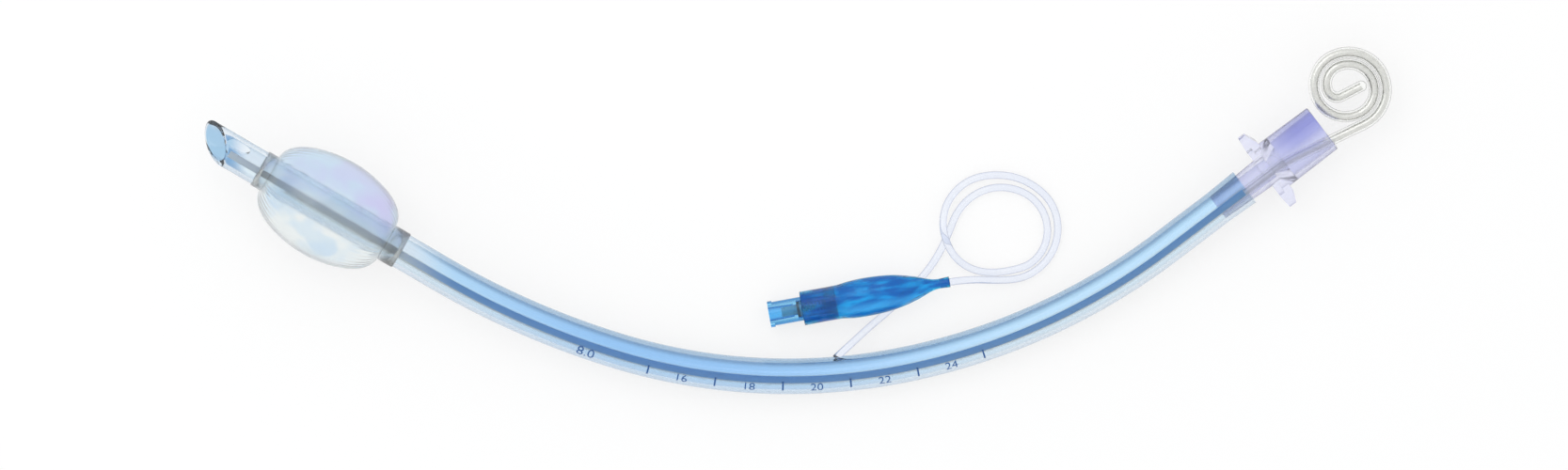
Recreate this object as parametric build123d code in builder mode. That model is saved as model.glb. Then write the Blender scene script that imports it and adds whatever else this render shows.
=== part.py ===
"""Cuffed endotracheal tube, size 8.0, lying on a table with its cuff and pilot balloon inflated.

The shaft is curved in one plane. It rests on the underside of the cuff, on the outside of its bend
and on the flange of its connector, so that plane is tilted a little from the table.
A malleable stylet is loaded in the shaft and coiled up at the connector.
Millimetres and degrees, +Z up, +X along the tube from tip to connector.
"""

from build123d import *
from math import cos, pi, radians, sin, sqrt, tan
import os

os.makedirs("parts", exist_ok=True)

# Shaft: bore and wall
shaft_bore = 8.0
shaft_outer = 10.7
inflation_bore = 0.9
flare_outer = 11.4

# Shaft: its line, as straight runs and bends, with the heading between one and the next
tip_run = 81.9
lower_bend_radius = 250.0
middle_bend_radius = 173.0
upper_bend_radius = 190.0
end_run = 29.2
tip_heading = -30.5
lower_heading = -17.3
upper_heading = 11.0
end_heading = 37.5
rest_heading = 13.9

# Bevelled tip and the eye in the wall opposite
bevel_angle = 45.0
bevel_turn = 38.0
bevel_round = 0.35
eye_length = 7.0
eye_width = 5.0
eye_from_tip = 12.0

# Cuff, measured from the tip along the shaft
cuff_diameter = 31.1
cuff_start = 23.6
cuff_middle = 43.8
cuff_end = 63.9
cuff_wall = 0.3
shoulder_radius = 12.4
shoulder_reach = 6.0
shoulder_lean = 0.2
collar_wall = 0.35
distal_collar = 3.2
proximal_collar = 5.0
port_from_tip = 32.3
port_length = 3.0
port_width = 1.0

# Connector with its 15 mm cone, measured from the shaft's end
insert_depth = 10.0
insert_reach = 6.8
insert_root_radius = 4.7
insert_wall = 0.8
flange_thickness = 1.8
flange_radius = 9.0
wing_span = 25.6
wing_width = 8.4
wing_root = 4.2
wing_tip = 2.2
wing_set = 0.4
wing_corner = 3.0
cone_mouth_diameter = 15.22
cone_length = 20.4
cone_taper = 1 / 40
mouth_bore = 12.7
deep_bore = 12.2
throat_depth = 15.0
throat_length = 4.5
mouth_round = 0.4

# Malleable stylet: a soft wire in a smooth sheath, coiled flat beyond the connector
stylet_diameter = 3.3
stylet_wire_diameter = 2.0
stylet_fit = 0.05
stylet_clearance = 0.12
stylet_from_tip = 30.0
stylet_lead = 10.0
stylet_bend_radius = 40.0
stylet_turn_out = 11.5
stylet_run_out = 22.2
coil_radius = 11.3
coil_gap = 0.2
hook_radius = 5.6
crook_radius = 3.0
crook_angle = 91.5
stylet_end_run = 6.5

# Pilot balloon and its valve, measured from the valve's mouth
pilot_x, pilot_y = -8.8, -28.0
pilot_heading = 10.3
pilot_pitch = 1.8
valve_radius = 3.6
valve_lug_radius = 3.95
valve_lug_length = 1.3
valve_lug_width = 4.6
valve_shoulder = 10.0
valve_body_radius = 4.6
valve_length = 20.4
luer_mouth_diameter = 4.3
luer_depth = 7.5
luer_taper = 0.06
seat_thickness = 1.0
seat_radius = 1.6
chamber_radius = 2.7
base_radius = 3.1
base_length = 3.4
base_bore = 1.6
spigot_radius = 1.2
spigot_length = 1.0
stem_clearance = 0.15
stem_recess = 3.8
stem_rib = 0.8
stem_button = 0.8
seal_thickness = 0.8
seal_neck_radius = 1.0
head_radius = 2.3
head_thickness = 1.0
guide_radius = 0.8
guide_length = 3.6
spring_wire = 0.3
spring_radius = 1.5
spring_turns = 6
balloon_wall = 0.5
belly_lead = 0.4
tail_start = 50.0
tail_end = 54.6
# Its belly, each section as a distance, half the width and half the height
belly_shape = [
    (25.0, 5.6, 4.6),
    (31.0, 5.7, 4.3),
    (38.0, 5.1, 3.8),
    (44.5, 3.5, 2.7),
]

# Inflation line
line_diameter = 2.2
line_socket_depth = 0.85
line_exit_heading = 5.0
line_exit_angle = 38.0
line_exit_run = 5.5
line_tail_depth = 3.0
line_tail_run = 4.6

# Where the outermost point of the bend lies on the table
apex_x, apex_y = -3.1, -46.4

shaft_bore_radius = shaft_bore / 2
shaft_radius = shaft_outer / 2
shaft_wall = shaft_radius - shaft_bore_radius
flare_radius = flare_outer / 2
cuff_radius = cuff_diameter / 2
stylet_radius = stylet_diameter / 2
line_radius = line_diameter / 2


def heading_vector(heading):
    """Direction in the plane of the shaft, measured from its own X."""
    return Vector(cos(radians(heading)), sin(radians(heading)))


def bend_shift(radius, start_heading, finish_heading):
    """How far a left-hand bend carries the line of the shaft."""
    start, finish = radians(start_heading), radians(finish_heading)
    return Vector(sin(finish) - sin(start), cos(start) - cos(finish)) * radius


# The apex is the middle of the plane that the shaft bends in, so the tip and the end follow
tip_local = (
    heading_vector(tip_heading) * tip_run
    + bend_shift(lower_bend_radius, tip_heading, lower_heading)
    + bend_shift(middle_bend_radius, lower_heading, 0)
) * -1
end_local = (
    bend_shift(middle_bend_radius, 0, upper_heading)
    + bend_shift(upper_bend_radius, upper_heading, end_heading)
    + heading_vector(end_heading) * end_run
)

# The plane rests on the cuff, the outside of the bend and the flange, each at its own radius
bend_rest = bend_shift(middle_bend_radius, 0, upper_heading) + bend_shift(
    upper_bend_radius, upper_heading, rest_heading
)
cuff_rest = tip_local + heading_vector(tip_heading) * cuff_middle - bend_rest
flange_rest = end_local + heading_vector(end_heading) * insert_reach - bend_rest
cuff_rise = cuff_radius - shaft_radius
flange_rise = flange_radius - shaft_radius
determinant = cuff_rest.X * flange_rest.Y - flange_rest.X * cuff_rest.Y
slope_x = (cuff_rise * flange_rest.Y - flange_rise * cuff_rest.Y) / determinant
slope_y = (cuff_rest.X * flange_rise - flange_rest.X * cuff_rise) / determinant
level_x = sqrt(1 - slope_x**2)
upright = sqrt(1 - slope_x**2 - slope_y**2)
shaft_plane = Plane(
    origin=(apex_x, apex_y, shaft_radius - slope_x * bend_rest.X - slope_y * bend_rest.Y),
    x_dir=(level_x, 0, slope_x),
    z_dir=(-slope_x * upright / level_x, -slope_y / level_x, upright),
)
shaft_up = shaft_plane.z_dir


def lie(vector):
    """A direction in the plane of the shaft, turned as that plane lies."""
    return shaft_plane.from_local_coords(vector) - shaft_plane.origin


def across(point, direction, side):
    """Plane square to a line, with its X to the side."""
    return Plane(origin=point, x_dir=side, z_dir=direction)


def along(point, direction, side):
    """Plane that holds a line, with its X to the side and its Y along the line."""
    return Plane(origin=point, x_dir=side, z_dir=side.cross(direction))


tip = shaft_plane.from_local_coords(tip_local)
tip_direction = lie(heading_vector(tip_heading))
tip_side = shaft_up.cross(tip_direction)
end = shaft_plane.from_local_coords(end_local)
end_direction = lie(heading_vector(end_heading))
end_side = shaft_up.cross(end_direction)
bevel_facing = shaft_up * cos(radians(bevel_turn)) - tip_side * sin(radians(bevel_turn))
bevel_middle = tip + tip_direction * (shaft_radius / tan(radians(bevel_angle)))
bevel_normal = bevel_facing * cos(radians(bevel_angle)) - tip_direction * sin(radians(bevel_angle))


def lower_line(offset, start):
    """The shaft's line from near its tip to the joint of the lower and middle bends."""
    side_step = tip_side * offset
    run = Line(tip + side_step + tip_direction * start, tip + side_step + tip_direction * tip_run)
    return JernArc(run @ 1, run % 1, lower_bend_radius - offset, lower_heading - tip_heading)


lumen_offset = shaft_bore_radius + shaft_wall / 2
collar_radius = shaft_radius + collar_wall
insert_slope = (insert_root_radius - shaft_bore_radius) / (insert_depth + insert_reach)
flare_bore_radius = shaft_bore_radius + insert_depth * insert_slope
tip_section = along(tip, tip_direction, tip_side)
end_section = along(end, end_direction, end_side)
insert_bore_radius = shaft_bore_radius - insert_wall
cone_root = insert_reach + flange_thickness
cone_mouth = cone_root + cone_length
cone_mouth_radius = cone_mouth_diameter / 2
cone_root_radius = cone_mouth_radius + cone_length * cone_taper / 2
stylet_offset = insert_bore_radius - stylet_radius - stylet_clearance
coil_pitch = stylet_diameter + coil_gap
luer_mouth_radius = luer_mouth_diameter / 2
seat_face = luer_depth + seat_thickness
base_face = valve_length - base_length
base_bore_radius = base_bore / 2
stem_radius = seat_radius - stem_clearance
head_face = seat_face + seal_thickness
head_back = head_face + head_thickness
spring_length = base_face - head_back - spring_wire
balloon_neck_radius = valve_body_radius + balloon_wall
tail_radius = line_radius + balloon_wall
belly_start = valve_length + belly_lead
belly_sections = [
    (belly_start, balloon_neck_radius, balloon_neck_radius),
    *belly_shape,
    (tail_start, tail_radius, tail_radius),
]


def cuff_profile(neck_radius, wall):
    """Half outline of the inflated film, drawn in by the wall's thickness."""
    return Spline(
        (neck_radius, cuff_start + wall),
        (shoulder_radius - wall, cuff_start + shoulder_reach),
        (cuff_radius - wall, cuff_middle),
        (shoulder_radius - wall, cuff_end - shoulder_reach),
        (neck_radius, cuff_end - wall),
        tangents=[(1, shoulder_lean), (-1, shoulder_lean)],
    )


# The inflation line leaves the inside of the bend a little past the apex
exit_outward = lie(heading_vector(line_exit_heading + 90))
exit_direction = lie(heading_vector(line_exit_heading + line_exit_angle))
bend_centre = shaft_plane.from_local_coords((0, middle_bend_radius))
exit_point = bend_centre - exit_outward * (middle_bend_radius - shaft_radius)
line_start = exit_point - exit_direction * line_socket_depth

# The valve's neck lies on the table, and its axis climbs a little towards the tail
pilot_side = Vector(0, 1, 0).rotate(Axis.Z, pilot_heading)
pilot_direction = Vector(1, 0, 0).rotate(Axis.Z, pilot_heading).rotate(
    Axis((0, 0, 0), pilot_side), -pilot_pitch
)
pilot_height = (
    balloon_neck_radius * cos(radians(pilot_pitch)) - valve_shoulder * sin(radians(pilot_pitch))
)
pilot = Vector(pilot_x, pilot_y, pilot_height)
pilot_axis = Axis(pilot, pilot_direction)
pilot_section = along(pilot, pilot_direction, pilot_side)


def pilot_station(distance):
    """Plane square to the pilot balloon's axis at a distance from the valve's mouth."""
    return across(pilot + pilot_direction * distance, pilot_direction, pilot_side)


# Route of the inflation line, chosen by hand: up to the balloon, under it, twice round, and back
line_end = pilot + pilot_direction * (tail_end - line_tail_depth)
line_lead_in = pilot + pilot_direction * (tail_end + line_tail_run)
line_route = [
    line_start,
    line_start + exit_direction * line_exit_run,
    (20.7, -32.0, 3.2),
    (26.7, -27.0, 1.15),
    (33.5, -20.5, 1.1),
    (38.7, -14.7, 1.1),
    (42.1, -9.4, 1.1),
    (44.7, -3.7, 1.1),
    (47.0, 2.5, 1.1),
    (51.3, 7.3, 1.1),
    (57.1, 9.9, 1.1),
    (63.3, 9.9, 1.1),
    (69.1, 7.5, 1.1),
    (73.1, 2.9, 1.1),
    (74.5, -3.0, 1.1),
    (73.0, -8.9, 1.1),
    (69.0, -13.3, 1.1),
    (63.0, -15.0, 1.1),
    (57.0, -15.7, 1.1),
    (51.1, -14.5, 1.2),
    (46.5, -11.1, 2.9),
    (43.9, -6.5, 4.3),
    (42.7, -1.1, 4.3),
    (43.7, 4.5, 2.6),
    (46.9, 9.3, 1.2),
    (51.7, 12.6, 1.1),
    (57.9, 13.8, 1.1),
    (64.3, 13.2, 1.1),
    (70.3, 10.5, 1.1),
    (75.3, 5.8, 1.1),
    (77.5, -0.5, 1.1),
    (76.8, -7.3, 1.1),
    (73.3, -13.1, 1.1),
    (67.4, -17.1, 1.15),
    (60.7, -17.9, 2.6),
    line_lead_in,
    line_end,
]
line_points = [Vector(point) for point in line_route]
line_radii = []
for before, corner, after in zip(line_points, line_points[1:], line_points[2:]):
    turn = (corner - before).get_angle(after - corner)
    shorter_run = min((corner - before).length, (after - corner).length)
    line_radii.append(0.45 * shorter_run / tan(radians(turn / 2)))


# Inflation line
with BuildPart() as inflation_line:
    with BuildLine() as route:
        FilletPolyline(line_points, radius=line_radii)
    with BuildSketch(across(line_points[0], exit_direction, exit_direction.cross(shaft_up))):
        Circle(line_radius)
    sweep(path=route.wires()[0])

# Shaft: one extrusion with its bore and its inflation lumen
with BuildPart() as tube_shaft:
    with BuildLine(shaft_plane) as shaft_line:
        lower = lower_line(0, 0)
        middle = JernArc(lower @ 1, lower % 1, middle_bend_radius, upper_heading - lower_heading)
        upper = JernArc(middle @ 1, middle % 1, upper_bend_radius, end_heading - upper_heading)
        Line(upper @ 1, end)
    with BuildSketch(across(tip, tip_direction, tip_side)):
        Circle(shaft_radius)
    sweep(path=shaft_line.wires()[0])
    # The end is stretched over the connector's insert
    with BuildSketch(end_section):
        Polygon((0, -insert_depth), (shaft_radius, -insert_depth), (flare_radius, 0), (0, 0), align=None)
    revolve(axis=Axis(end, end_direction))
    with BuildSketch(across(tip, tip_direction, tip_side)):
        Circle(shaft_bore_radius)
    sweep(path=shaft_line.wires()[0], mode=Mode.SUBTRACT)
    with BuildSketch(end_section):
        Polygon(
            (0, -insert_depth),
            (shaft_bore_radius, -insert_depth),
            (flare_bore_radius, 0),
            (0, 0),
            align=None,
        )
    revolve(axis=Axis(end, end_direction), mode=Mode.SUBTRACT)
    # Bevel
    split(bisect_by=Plane(origin=bevel_middle, z_dir=bevel_normal), keep=Keep.BOTTOM)
    fillet(faces().sort_by(Axis(bevel_middle, bevel_normal))[-1].edges(), bevel_round)
    # Eye in the wall opposite the bevel
    eye_middle = tip + tip_direction * eye_from_tip
    with BuildSketch(Plane(origin=eye_middle, x_dir=tip_direction, z_dir=-bevel_facing)):
        SlotOverall(eye_length, eye_width)
    extrude(amount=shaft_outer, mode=Mode.SUBTRACT)
    # Inflation lumen in the wall on the inside of the bends, sealed short of the eye
    with BuildLine(shaft_plane) as lumen_line:
        lumen_lower = lower_line(lumen_offset, port_from_tip - port_length)
        JernArc(
            lumen_lower @ 1,
            lumen_lower % 1,
            middle_bend_radius - lumen_offset,
            line_exit_heading - lower_heading,
        )
    lumen_path = lumen_line.wires()[0]
    with BuildSketch(across(lumen_path @ 0, tip_direction, tip_side)):
        Circle(inflation_bore / 2)
    sweep(path=lumen_path, mode=Mode.SUBTRACT)
    # Socket for the end of the inflation line
    with BuildSketch(across(line_start, exit_direction, exit_direction.cross(shaft_up))):
        Circle(line_radius)
    extrude(amount=shaft_outer, mode=Mode.SUBTRACT)
    # Port from the lumen into the cuff
    port_floor = tip + tip_direction * port_from_tip + tip_side * lumen_offset
    with BuildSketch(Plane(origin=port_floor, x_dir=tip_direction, z_dir=tip_side)):
        SlotOverall(port_length, port_width)
    extrude(amount=shaft_wall, mode=Mode.SUBTRACT)

# Cuff: a blown film with its two collars bonded to the shaft
with BuildPart() as cuff:
    with BuildSketch(tip_section):
        with BuildLine():
            cuff_profile(collar_radius, 0)
            Polyline(
                (collar_radius, cuff_end),
                (collar_radius, cuff_end + proximal_collar),
                (shaft_radius, cuff_end + proximal_collar),
                (shaft_radius, cuff_start - distal_collar),
                (collar_radius, cuff_start - distal_collar),
                (collar_radius, cuff_start),
            )
        make_face()
        with BuildLine():
            cuff_profile(shaft_radius, cuff_wall)
            Line((shaft_radius, cuff_end - cuff_wall), (shaft_radius, cuff_start + cuff_wall))
        make_face(mode=Mode.SUBTRACT)
    revolve(axis=Axis(tip, tip_direction))

# Wings of the connector: thin at their tips, and rounded as seen along the shaft
with BuildPart() as wings:
    with BuildSketch(end_section):
        Polygon(
            (-wing_span / 2, insert_reach + wing_set),
            (-wing_span / 2, insert_reach + wing_set + wing_tip),
            (-flange_radius, insert_reach + wing_root),
            (flange_radius, insert_reach + wing_root),
            (wing_span / 2, insert_reach + wing_set + wing_tip),
            (wing_span / 2, insert_reach + wing_set),
            (flange_radius, insert_reach),
            (-flange_radius, insert_reach),
            align=None,
        )
    extrude(amount=wing_width / 2, both=True)
    with BuildSketch(across(end, end_direction, end_side)):
        RectangleRounded(wing_span, wing_width, wing_corner)
    extrude(amount=insert_reach + 2 * wing_root, mode=Mode.INTERSECT)

# Connector: one moulding with its insert, flange, wings and 15 mm cone
with BuildPart() as connector:
    with BuildSketch(end_section):
        Polygon(
            (0, -insert_depth),
            (shaft_bore_radius, -insert_depth),
            (insert_root_radius, insert_reach),
            (flange_radius, insert_reach),
            (flange_radius, cone_root),
            (cone_root_radius, cone_root),
            (cone_mouth_radius, cone_mouth),
            (0, cone_mouth),
            align=None,
        )
    revolve(axis=Axis(end, end_direction))
    add(wings.part)
    fillet(faces().sort_by(Axis(end, end_direction))[-1].edges(), mouth_round)
    with BuildSketch(end_section):
        Polygon(
            (0, -insert_depth),
            (insert_bore_radius, -insert_depth),
            (insert_bore_radius, cone_mouth - throat_depth - throat_length),
            (deep_bore / 2, cone_mouth - throat_depth),
            (mouth_bore / 2, cone_mouth),
            (0, cone_mouth),
            align=None,
        )
    revolve(axis=Axis(end, end_direction), mode=Mode.SUBTRACT)

# Stylet: along the outer side of the bore, out of the cone's mouth and round into a flat coil
with BuildLine(shaft_plane) as stylet_line:
    first = lower_line(-stylet_offset, stylet_from_tip)
    second = JernArc(
        first @ 1, first % 1, middle_bend_radius + stylet_offset, upper_heading - lower_heading
    )
    third = JernArc(
        second @ 1, second % 1, upper_bend_radius + stylet_offset, end_heading - upper_heading
    )
    lead = Line(third @ 1, (third @ 1) + (third % 1) * (end_run + stylet_lead))
    turn_out = JernArc(lead @ 1, lead % 1, stylet_bend_radius, -stylet_turn_out)
    run_out = Line(turn_out @ 1, (turn_out @ 1) + (turn_out % 1) * stylet_run_out)
    outer_half = JernArc(run_out @ 1, run_out % 1, coil_radius, 180)
    inner_half = JernArc(outer_half @ 1, outer_half % 1, coil_radius - coil_pitch / 2, 180)
    last_half = JernArc(inner_half @ 1, inner_half % 1, coil_radius - coil_pitch, 180)
    hook = JernArc(last_half @ 1, last_half % 1, hook_radius, 90)
    crook = JernArc(hook @ 1, hook % 1, crook_radius, crook_angle)
    Line(crook @ 1, (crook @ 1) + (crook % 1) * stylet_end_run)
stylet_path = stylet_line.wires()[0]
stylet_start = tip + tip_direction * stylet_from_tip - tip_side * stylet_offset

with BuildPart() as stylet_sheath:
    with BuildSketch(across(stylet_start, tip_direction, tip_side)):
        Circle(stylet_radius)
    sweep(path=stylet_path)
    with Locations(stylet_path @ 0, stylet_path @ 1):
        Sphere(stylet_radius)
    with BuildSketch(across(stylet_start, tip_direction, tip_side)):
        Circle(stylet_wire_diameter / 2 + stylet_fit)
    sweep(path=stylet_path, mode=Mode.SUBTRACT)

with BuildPart() as stylet_wire:
    with BuildSketch(across(stylet_start, tip_direction, tip_side)):
        Circle(stylet_wire_diameter / 2)
    sweep(path=stylet_path)

# Valve housing: luer socket, seat and spring chamber in one moulding
with BuildPart() as valve_housing:
    with BuildSketch(pilot_section):
        Polygon(
            (0, 0),
            (valve_radius, 0),
            (valve_radius, valve_shoulder),
            (valve_body_radius, valve_shoulder),
            (valve_body_radius, valve_length),
            (0, valve_length),
            align=None,
        )
    revolve(axis=pilot_axis)
    with BuildSketch(pilot_station(0)):
        Circle(valve_lug_radius)
        Rectangle(2 * valve_lug_radius, valve_lug_width, mode=Mode.INTERSECT)
    extrude(amount=valve_lug_length)
    with BuildSketch(pilot_section):
        Polygon(
            (0, 0),
            (luer_mouth_radius, 0),
            (luer_mouth_radius - luer_depth * luer_taper / 2, luer_depth),
            (seat_radius, luer_depth),
            (seat_radius, seat_face),
            (chamber_radius, seat_face),
            (chamber_radius, base_face),
            (base_radius, base_face),
            (base_radius, valve_length),
            (0, valve_length),
            align=None,
        )
    revolve(axis=pilot_axis, mode=Mode.SUBTRACT)

with BuildPart() as valve_base:
    with BuildSketch(pilot_section):
        Polygon(
            (base_bore_radius, base_face - spigot_length),
            (spigot_radius, base_face - spigot_length),
            (spigot_radius, base_face),
            (base_radius, base_face),
            (base_radius, valve_length),
            (base_bore_radius, valve_length),
            align=None,
        )
    revolve(axis=pilot_axis)

# Plunger: a fluted stem in the socket, a neck for the seal, a head and a guide for the spring
with BuildPart() as valve_plunger:
    with BuildSketch(pilot_station(stem_recess)):
        Circle(stem_radius)
    extrude(amount=stem_button)
    with BuildSketch(pilot_station(stem_recess)):
        Rectangle(2 * stem_radius, stem_rib)
        Rectangle(stem_rib, 2 * stem_radius)
        Circle(stem_radius, mode=Mode.INTERSECT)
    extrude(amount=seat_face - stem_recess)
    with BuildSketch(pilot_section):
        Polygon(
            (0, seat_face - seat_thickness),
            (seal_neck_radius, seat_face - seat_thickness),
            (seal_neck_radius, head_face),
            (head_radius, head_face),
            (head_radius, head_back),
            (guide_radius, head_back),
            (guide_radius, head_back + guide_length),
            (0, head_back + guide_length),
            align=None,
        )
    revolve(axis=pilot_axis)

with BuildPart() as valve_seal:
    with BuildSketch(pilot_station(seat_face)):
        Circle(head_radius)
        Circle(seal_neck_radius, mode=Mode.SUBTRACT)
    extrude(amount=seal_thickness)

with BuildPart() as valve_spring:
    with BuildLine():
        coil = Helix(
            pitch=spring_length / spring_turns,
            height=spring_length,
            radius=spring_radius,
            center=pilot + pilot_direction * (head_back + spring_wire / 2),
            direction=pilot_direction,
        )
    with BuildSketch(Plane(origin=coil @ 0, z_dir=coil % 0)):
        Circle(spring_wire / 2)
    sweep(path=coil, is_frenet=True)

# Pilot balloon: a blown film sleeve, bonded round the valve at one end and the line at the other
with BuildPart() as pilot_balloon:
    with BuildSketch(pilot_station(valve_shoulder)):
        Circle(balloon_neck_radius)
    extrude(amount=belly_start - valve_shoulder)
    for distance, half_width, half_height in belly_sections:
        with BuildSketch(pilot_station(distance)):
            Ellipse(half_width, half_height)
    loft()
    with BuildSketch(pilot_station(tail_start)):
        Circle(tail_radius)
    extrude(amount=tail_end - tail_start)
    with BuildSketch(pilot_station(valve_shoulder)):
        Circle(valve_body_radius)
    extrude(amount=belly_start - valve_shoulder, mode=Mode.SUBTRACT)
    for distance, half_width, half_height in belly_sections:
        with BuildSketch(pilot_station(distance)):
            Ellipse(half_width - balloon_wall, half_height - balloon_wall)
    loft(mode=Mode.SUBTRACT)
    with BuildSketch(pilot_station(tail_start)):
        Circle(line_radius)
    extrude(amount=tail_end - tail_start, mode=Mode.SUBTRACT)

nodes = {
    "tube_shaft": tube_shaft,
    "cuff": cuff,
    "connector": connector,
    "stylet_sheath": stylet_sheath,
    "stylet_wire": stylet_wire,
    "inflation_line": inflation_line,
    "pilot_balloon": pilot_balloon,
    "valve_housing": valve_housing,
    "valve_base": valve_base,
    "valve_plunger": valve_plunger,
    "valve_seal": valve_seal,
    "valve_spring": valve_spring,
}
for label, node in nodes.items():
    node.part.label = label
    export_step(node.part, f"parts/{label}.step")
line_length = route.wires()[0].length
print("radii of the inflation line's bends:", [round(radius, 1) for radius in line_radii])
print(f"inflation line: length {line_length:.1f}, volume {inflation_line.part.volume:.1f},")
print(f"section times length {pi * line_radius**2 * line_length:.1f}")
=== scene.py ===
# %% [markdown]
# # A cuffed airway tube
#
# The object is a size 8.0 tube for the windpipe. It has a curved clear shaft, an inflated cuff,
# a thin inflation line with a blue pilot balloon, a lilac connector and a bendable stylet that
# is coiled up at the connector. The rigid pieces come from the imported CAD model. This lesson
# adds the soft pieces, the print, the finishes, the light and the camera.

# %% Load the frame
import bmesh
import bpy
from math import cos, pi, radians, sin, tan
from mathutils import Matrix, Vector


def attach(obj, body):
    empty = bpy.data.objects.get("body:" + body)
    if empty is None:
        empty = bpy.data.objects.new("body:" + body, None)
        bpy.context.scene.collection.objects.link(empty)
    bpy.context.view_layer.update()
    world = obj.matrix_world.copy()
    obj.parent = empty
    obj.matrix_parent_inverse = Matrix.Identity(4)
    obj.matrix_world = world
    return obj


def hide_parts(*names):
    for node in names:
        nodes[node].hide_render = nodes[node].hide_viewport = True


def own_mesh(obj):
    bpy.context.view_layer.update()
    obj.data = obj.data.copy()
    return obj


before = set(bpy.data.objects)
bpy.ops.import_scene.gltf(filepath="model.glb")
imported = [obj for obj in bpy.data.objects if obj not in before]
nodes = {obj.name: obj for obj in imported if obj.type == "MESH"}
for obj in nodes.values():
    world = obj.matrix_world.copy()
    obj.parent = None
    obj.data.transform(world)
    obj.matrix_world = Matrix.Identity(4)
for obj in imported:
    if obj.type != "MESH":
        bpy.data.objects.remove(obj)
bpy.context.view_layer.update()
scene = bpy.context.scene
mm = 0.001

# %% [markdown]
# ## Camera
#
# The photo looks straight down on the tube. A long lens from high up gives nearly no
# perspective, as in a catalogue picture. One pixel of the photo is 0.28 mm, because the
# connector's cone is the standard 15 mm one, and that sets the width that the camera takes in.

# %% Camera
photo_width = 1667
pixel = 0.28 * mm
lens_length = 240
sensor_width = 36
view_middle = Vector((-4.4, -4.3, 6.0)) * mm

camera_data = bpy.data.cameras.new("camera")
camera_data.lens = lens_length
camera_data.sensor_width = sensor_width
camera = bpy.data.objects.new("camera", camera_data)
scene.collection.objects.link(camera)
camera.location = view_middle + Vector((0, 0, photo_width * pixel * lens_length / sensor_width))
scene.camera = camera
print("camera", round(camera.location.z, 3), "m above the floor")

# %% [markdown]
# ## Inflation line
#
# The line is a limp clear tube 2.2 mm across. It leaves the wall of the shaft, runs under the
# pilot balloon, goes nearly twice round in a loose loop and enters the balloon's tail. A smooth
# curve through a few control points is the natural way to lay such a line, because its bends
# then flow into each other. The points are the same as in the CAD model. Each point carries
# the line's radius and the bevel is 1 m, so that Blender's box round the curve is the true one.

# %% Inflation line
line_diameter = 2.2 * mm
line_points = [
    (10.902, -41.028, 6.161),
    (14.935, -37.302, 6.480),
    (20.7, -32.0, 3.2),
    (26.7, -27.0, 1.15),
    (33.5, -20.5, 1.1),
    (38.7, -14.7, 1.1),
    (42.1, -9.4, 1.1),
    (44.7, -3.7, 1.1),
    (47.0, 2.5, 1.1),
    (51.3, 7.3, 1.1),
    (57.1, 9.9, 1.1),
    (63.3, 9.9, 1.1),
    (69.1, 7.5, 1.1),
    (73.1, 2.9, 1.1),
    (74.5, -3.0, 1.1),
    (73.0, -8.9, 1.1),
    (69.0, -13.3, 1.1),
    (63.0, -15.0, 1.1),
    (57.0, -15.7, 1.1),
    (51.1, -14.5, 1.2),
    (46.5, -11.1, 2.9),
    (43.9, -6.5, 4.3),
    (42.7, -1.1, 4.3),
    (43.7, 4.5, 2.6),
    (46.9, 9.3, 1.2),
    (51.7, 12.6, 1.1),
    (57.9, 13.8, 1.1),
    (64.3, 13.2, 1.1),
    (70.3, 10.5, 1.1),
    (75.3, 5.8, 1.1),
    (77.5, -0.5, 1.1),
    (76.8, -7.3, 1.1),
    (73.3, -13.1, 1.1),
    (67.4, -17.1, 1.15),
    (60.7, -17.9, 2.6),
    (49.417, -17.420, 6.643),
    (41.943, -18.778, 6.404),
]

line_curve = bpy.data.curves.new("inflation_tubing", "CURVE")
line_curve.dimensions = "3D"
line_curve.bevel_depth = 1.0
line_curve.bevel_resolution = 6
line_curve.resolution_u = 6
line_curve.use_fill_caps = True
spline = line_curve.splines.new("NURBS")
spline.points.add(len(line_points) - 1)
for control, place in zip(spline.points, line_points):
    control.co = (*(Vector(place) * mm), 1)
    control.radius = line_diameter / 2
spline.order_u = 3
spline.use_endpoint_u = True
inflation_tubing = bpy.data.objects.new("inflation_tubing", line_curve)
scene.collection.objects.link(inflation_tubing)
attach(inflation_tubing, "tube")
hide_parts("inflation_line")
print("inflation line,", len(line_points), "control points, spline", round(spline.calc_length() / mm, 1), "mm")

# %% [markdown]
# ## Shader arithmetic
#
# A finish is a small sum of masks and noises. Written as nodes it is long, so a class wraps a
# socket and lets Python's own operators add the Math nodes. One more method makes every other
# kind of node, from its type, its settings and the values of its sockets.


# %% Shader arithmetic
class Value:
    """A number or colour that a material works out."""

    def __init__(self, recipe, socket):
        self.recipe = recipe
        self.socket = socket

    def __add__(self, other):
        return self.recipe.maths("ADD", self, other)

    def __sub__(self, other):
        return self.recipe.maths("SUBTRACT", self, other)

    def __rsub__(self, other):
        return self.recipe.maths("SUBTRACT", other, self)

    def __mul__(self, other):
        return self.recipe.maths("MULTIPLY", self, other)

    def __truediv__(self, other):
        return self.recipe.maths("DIVIDE", self, other)

    def __rtruediv__(self, other):
        return self.recipe.maths("DIVIDE", other, self)

    def __pow__(self, other):
        return self.recipe.maths("POWER", self, other)

    __radd__ = __add__
    __rmul__ = __mul__

    def size(self):
        return self.recipe.maths("ABSOLUTE", self)

    def ramp(self, low, high):
        """0 below low, 1 above high and smooth between them."""
        return self.recipe.node(
            "MapRange",
            {"interpolation_type": "SMOOTHSTEP"},
            {"Value": self, "From Min": low, "From Max": high},
        )


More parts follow.
